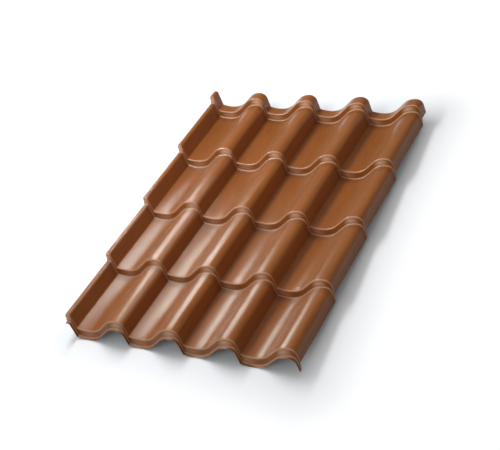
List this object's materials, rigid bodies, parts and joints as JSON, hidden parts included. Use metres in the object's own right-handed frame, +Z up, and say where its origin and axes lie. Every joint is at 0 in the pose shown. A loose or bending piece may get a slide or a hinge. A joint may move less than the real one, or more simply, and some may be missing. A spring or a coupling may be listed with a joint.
{
  "type": "metal roof tile sheet",
  "caption": "Thin painted steel roofing sheet pressed into rows of tile shapes, with a wave section across it and raised steps along it.",
  "frame": {"origin": "bottom centre of the bounding box: on the floor under the middle of the sheet", "axes": "+Z up out of the painted face, +Y up the roof from the low edge to the high edge, +X across the waves towards the overlapping edge"},
  "size_m": [1.0724, 1.4692, 0.1238],
  "materials": {
    "painted_sheet": "glossy chocolate brown coil coating"
  },
  "bodies": {
    "root": {"tile_sheet": "painted_sheet"}
  },
  "joints": []
}
